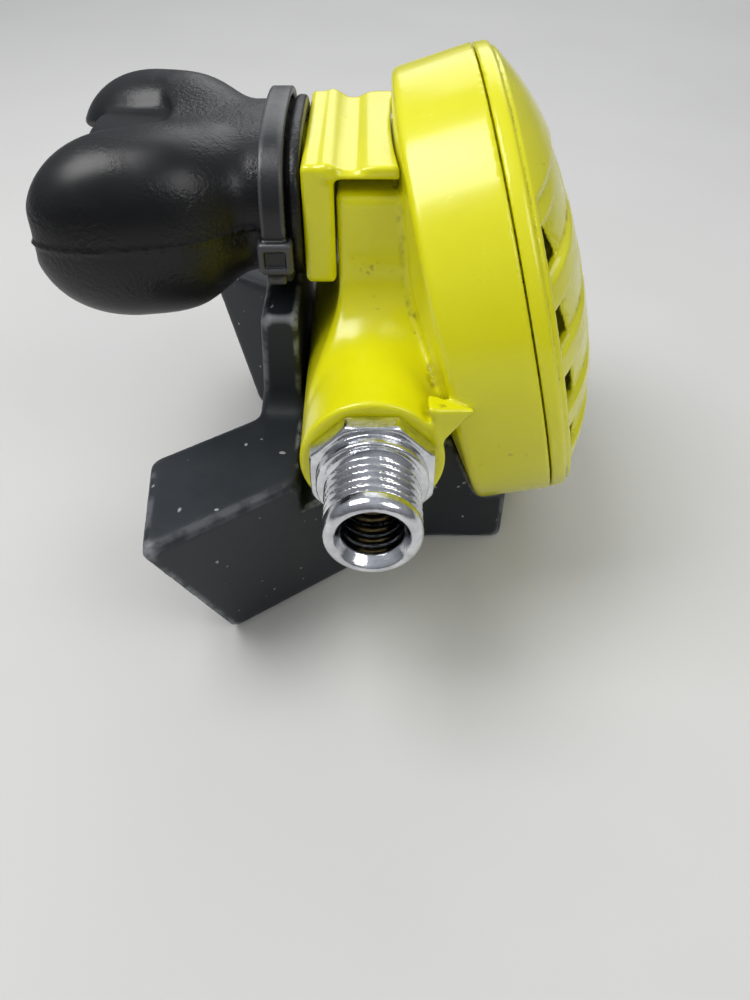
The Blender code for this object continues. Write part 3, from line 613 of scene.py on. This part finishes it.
def black_silicone():
    """Soft black silicone with the fine orange-peel grain of its mould."""
    made, tree, shader = new_material("black_silicone")
    where = place_of(tree)
    cloudy = noise(tree, where, 70.0)
    tint = mix(tree, ramp(tree, cloudy, 0.3, 0.7), (0.003, 0.003, 0.0035, 1), (0.007, 0.007, 0.008, 1))
    tree.links.new(tint, shader.inputs["Base Color"])
    grain = noise(tree, where, 1500.0, 2.0, 0.6)
    shader.inputs["Specular IOR Level"].default_value = 0.38
    rough = ramp(tree, cloudy, 0.3, 0.7, 0.3, 0.42)
    tree.links.new(rough, shader.inputs["Roughness"])
    patches = noise(tree, where, 90.0, 2.0)
    bump(tree, shader, multiply(tree, grain, ramp(tree, patches, 0.4, 0.65)), 0.5, 0.0004)
    return made


def black_rubber():
    """Blue-black rubber, paler along its edges from scuffing and a painted highlight, with pale specks."""
    made, tree, shader = new_material("black_rubber")
    where = place_of(tree)
    cloudy = noise(tree, where, 55.0, 4.0)
    tint = mix(tree, ramp(tree, cloudy, 0.3, 0.7), (0.009, 0.012, 0.016, 1), (0.018, 0.023, 0.029, 1))
    # Paler along outer edges, broken up by noise: partly scuffing, partly a painted highlight on the ridges.
    pale_edges = ramp(tree, attribute(tree, "edge"), 0.4, 0.85)
    scratchy = noise(tree, where, 260.0, 4.0)
    pale_edges = multiply(tree, pale_edges, ramp(tree, scratchy, 0.42, 0.58))
    tint = mix(tree, multiply(tree, pale_edges, 0.65), tint, (0.30, 0.31, 0.33, 1))
    specks = ramp(tree, noise(tree, where, 520.0, 1.0), 0.735, 0.765)
    tint = mix(tree, multiply(tree, specks, 0.7), tint, (0.45, 0.46, 0.47, 1))
    tree.links.new(tint, shader.inputs["Base Color"])
    rough = ramp(tree, cloudy, 0.3, 0.7, 0.42, 0.58)
    tree.links.new(rough, shader.inputs["Roughness"])
    bump(tree, shader, noise(tree, where, 900.0, 2.0), 0.12, 0.0002)
    return made


def black_nylon():
    """Cable tie nylon with faint lengthwise drawing marks."""
    made, tree, shader = new_material("black_nylon")
    where = place_of(tree)
    cloudy = noise(tree, where, 160.0)
    tint = mix(tree, cloudy, (0.006, 0.006, 0.006, 1), (0.014, 0.014, 0.015, 1))
    pale_edges = ramp(tree, attribute(tree, "edge"), 0.4, 0.9)
    tint = mix(tree, multiply(tree, pale_edges, 0.3), tint, (0.16, 0.16, 0.17, 1))
    tree.links.new(tint, shader.inputs["Base Color"])
    tree.links.new(ramp(tree, cloudy, 0.3, 0.7, 0.28, 0.42), shader.inputs["Roughness"])
    bump(tree, shader, noise(tree, where, 1200.0, 2.0), 0.15, 0.0002)
    return made


def metal(name, light, dark, rough_low, rough_high, scale):
    """Plated or machined metal: mottled colour, small pits and turning marks."""
    made, tree, shader = new_material(name)
    where = place_of(tree)
    shader.inputs["Metallic"].default_value = 1.0
    cloudy = noise(tree, where, scale, 4.0)
    tree.links.new(mix(tree, ramp(tree, cloudy, 0.35, 0.65), dark, light), shader.inputs["Base Color"])
    tree.links.new(ramp(tree, noise(tree, where, scale * 3.0), 0.3, 0.7, rough_low, rough_high),
                   shader.inputs["Roughness"])
    bump(tree, shader, noise(tree, place_of(tree, (1.0, 4.0, 1.0)), scale * 5.0, 2.0), 0.12, 0.0002)
    return made


def plain(name, first, second, roughness, scale=120.0):
    """Quiet two-tone plastic or rubber for inner pieces."""
    made, tree, shader = new_material(name)
    where = place_of(tree)
    cloudy = noise(tree, where, scale)
    tree.links.new(mix(tree, cloudy, first, second), shader.inputs["Base Color"])
    tree.links.new(ramp(tree, cloudy, 0.3, 0.7, roughness, roughness + 0.15), shader.inputs["Roughness"])
    bump(tree, shader, noise(tree, where, scale * 8.0), 0.1, 0.0002)
    return made


MATERIALS = {
    "yellow_plastic": yellow_plastic(),
    "black_silicone": black_silicone(),
    "black_rubber": black_rubber(),
    "black_nylon": black_nylon(),
    "chromed_brass": metal("chromed_brass", (0.82, 0.83, 0.85, 1), (0.55, 0.56, 0.58, 1), 0.05, 0.2, 380.0),
    "bare_brass": metal("bare_brass", (0.78, 0.58, 0.26, 1), (0.6, 0.42, 0.16, 1), 0.2, 0.35, 300.0),
    "stainless_steel": metal("stainless_steel", (0.68, 0.68, 0.69, 1), (0.5, 0.5, 0.51, 1), 0.2, 0.35, 300.0),
    "silicone_membrane": plain("silicone_membrane", (0.5, 0.52, 0.54, 1), (0.62, 0.64, 0.66, 1), 0.4),
    "acetal_plastic": plain("acetal_plastic", (0.7, 0.7, 0.68, 1), (0.8, 0.8, 0.78, 1), 0.35),
    "nitrile_rubber": plain("nitrile_rubber", (0.012, 0.012, 0.012, 1), (0.03, 0.03, 0.03, 1), 0.5),
}


def finish_piece(obj, slot, body, *nodes):
    """Give a piece its material and the body it rides on, and hide the CAD nodes it stands for."""
    obj.data.materials.append(MATERIALS[slot])
    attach(obj, body)
    if nodes:
        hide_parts(*nodes)
    return obj


def paint_cad():
    """Give every CAD node the material of its slot."""
    slots = {part["node"]: part["material_slot"] for part in frame["record"]["subparts"]}
    for name, obj in frame["nodes"].items():
        obj.data.materials.clear()
        obj.data.materials.append(MATERIALS[slots[name]])


# ---- camera, floor and light --------------------------------------------------------------------
def make_camera():
    data = bpy.data.cameras.new("photo_view")
    data.sensor_width = 36.0
    data.lens = 28.8
    camera = bpy.data.objects.new("photo_view", data)
    bpy.context.scene.collection.objects.link(camera)
    camera.location = ORIGIN + Vector((0.0, -131.5, 78.9)) * MM
    camera.rotation_euler = (math.radians(90.0 - 43.4), 0.0, math.radians(-0.25))
    data.clip_start = 0.01
    bpy.context.scene.camera = camera


def make_stage():
    bpy.ops.mesh.primitive_plane_add(size=3.0, location=(0.0, 0.0, -0.0002))
    floor = bpy.context.object
    floor.name = "floor"
    made, tree, shader = new_material("pale_floor")
    where = place_of(tree)
    tint = mix(tree, noise(tree, where, 14.0), (0.60, 0.59, 0.57, 1), (0.66, 0.65, 0.63, 1))
    tree.links.new(tint, shader.inputs["Base Color"])
    shader.inputs["Roughness"].default_value = 0.75
    floor.data.materials.append(made)

    world = bpy.data.worlds.new("studio")
    world.use_nodes = True
    tree = world.node_tree
    sky = tree.nodes["Background"]
    where = tree.nodes.new("ShaderNodeTexCoord")
    split = add(tree, "ShaderNodeSeparateXYZ", Vector=where.outputs["Generated"])
    height = ramp(tree, split.outputs["Z"], -0.1, 0.9)
    shade = mix(tree, height, (0.10, 0.105, 0.11, 1), (0.46, 0.48, 0.52, 1))
    tree.links.new(shade, sky.inputs["Color"])
    bpy.context.scene.world = world
    for name, place, size, power in (("key", (-0.22, -0.02, 0.5), 0.3, 1.9),
                                     ("fill", (0.35, -0.3, 0.5), 0.3, 0.9),
                                     ("back", (0.1, 0.6, 0.45), 0.5, 1.0)):
        data = bpy.data.lights.new(name, "AREA")
        data.energy = power
        data.size = size
        lamp = bpy.data.objects.new(name, data)
        bpy.context.scene.collection.objects.link(lamp)
        lamp.location = place
        lamp.rotation_euler = (Vector((0.0, 0.0, 0.03)) - Vector(place)).to_track_quat("-Z", "Y").to_euler()


bpy.context.scene.view_settings.view_transform = "Standard"
make_camera()
make_stage()
paint_cad()

COARSE = 1.0


def build(name, field, low, high, step, slot, body, *nodes):
    """Mesh a field between two corners and finish it as a piece."""
    piece = surface(name, field, low, high, step * COARSE)
    return finish_piece(piece, slot, body, *nodes)


build("case_shell", case_field, (-13.0, -42.0, -32.0), (36.0, 40.0, 48.0), 0.45,
      "yellow_plastic", "housing", "case")
build("horn_shell", horn_field, (-23.5, -18.5, 16.0), (9.0, 18.5, 36.5), 0.45,
      "yellow_plastic", "housing", "mouthpiece_horn")
build("cover_shell", cover_field, (11.0, -39.5, -30.0), (40.5, 39.5, 49.0), 0.4,
      "yellow_plastic", "housing", "front_cover")
build("mouthpiece_skin", mouthpiece_field, (-54.0, -34.0, 13.0), (-9.0, 34.0, 40.0), 0.45,
      "black_silicone", "housing", "mouthpiece")
build("clamp_band", clamp_field, (-18.0, -22.0, 12.0), (-10.5, 20.5, 41.0), 0.3,
      "black_nylon", "housing", "mouthpiece_clamp")
build("inlet_body", inlet_field, (-10.5, -57.5, -10.5), (10.5, -29.0, 10.5), 0.25,
      "chromed_brass", "housing", "inlet_fitting")
build("tee_skin", tee_field, (-40.0, -56.0, FLOOR - 1.0), (28.0, 56.0, 15.0), 0.7,
      "black_rubber", "housing", "exhaust_tee")


def copy_of(node, name, slot):
    """A new piece with its own copy of the shape of a CAD node."""
    piece = bpy.data.objects.new(name, frame["nodes"][node].data.copy())
    bpy.context.scene.collection.objects.link(piece)
    piece.data.materials.clear()
    piece.data.materials.append(MATERIALS[slot])
    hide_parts(node)
    return piece


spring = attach(copy_of("purge_spring", "purge_coil", "stainless_steel"), "housing")
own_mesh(spring)
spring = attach(copy_of("poppet_spring", "poppet_coil", "stainless_steel"), "housing")
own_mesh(spring)
membrane = copy_of("diaphragm", "diaphragm_skin", "silicone_membrane")
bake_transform(membrane)
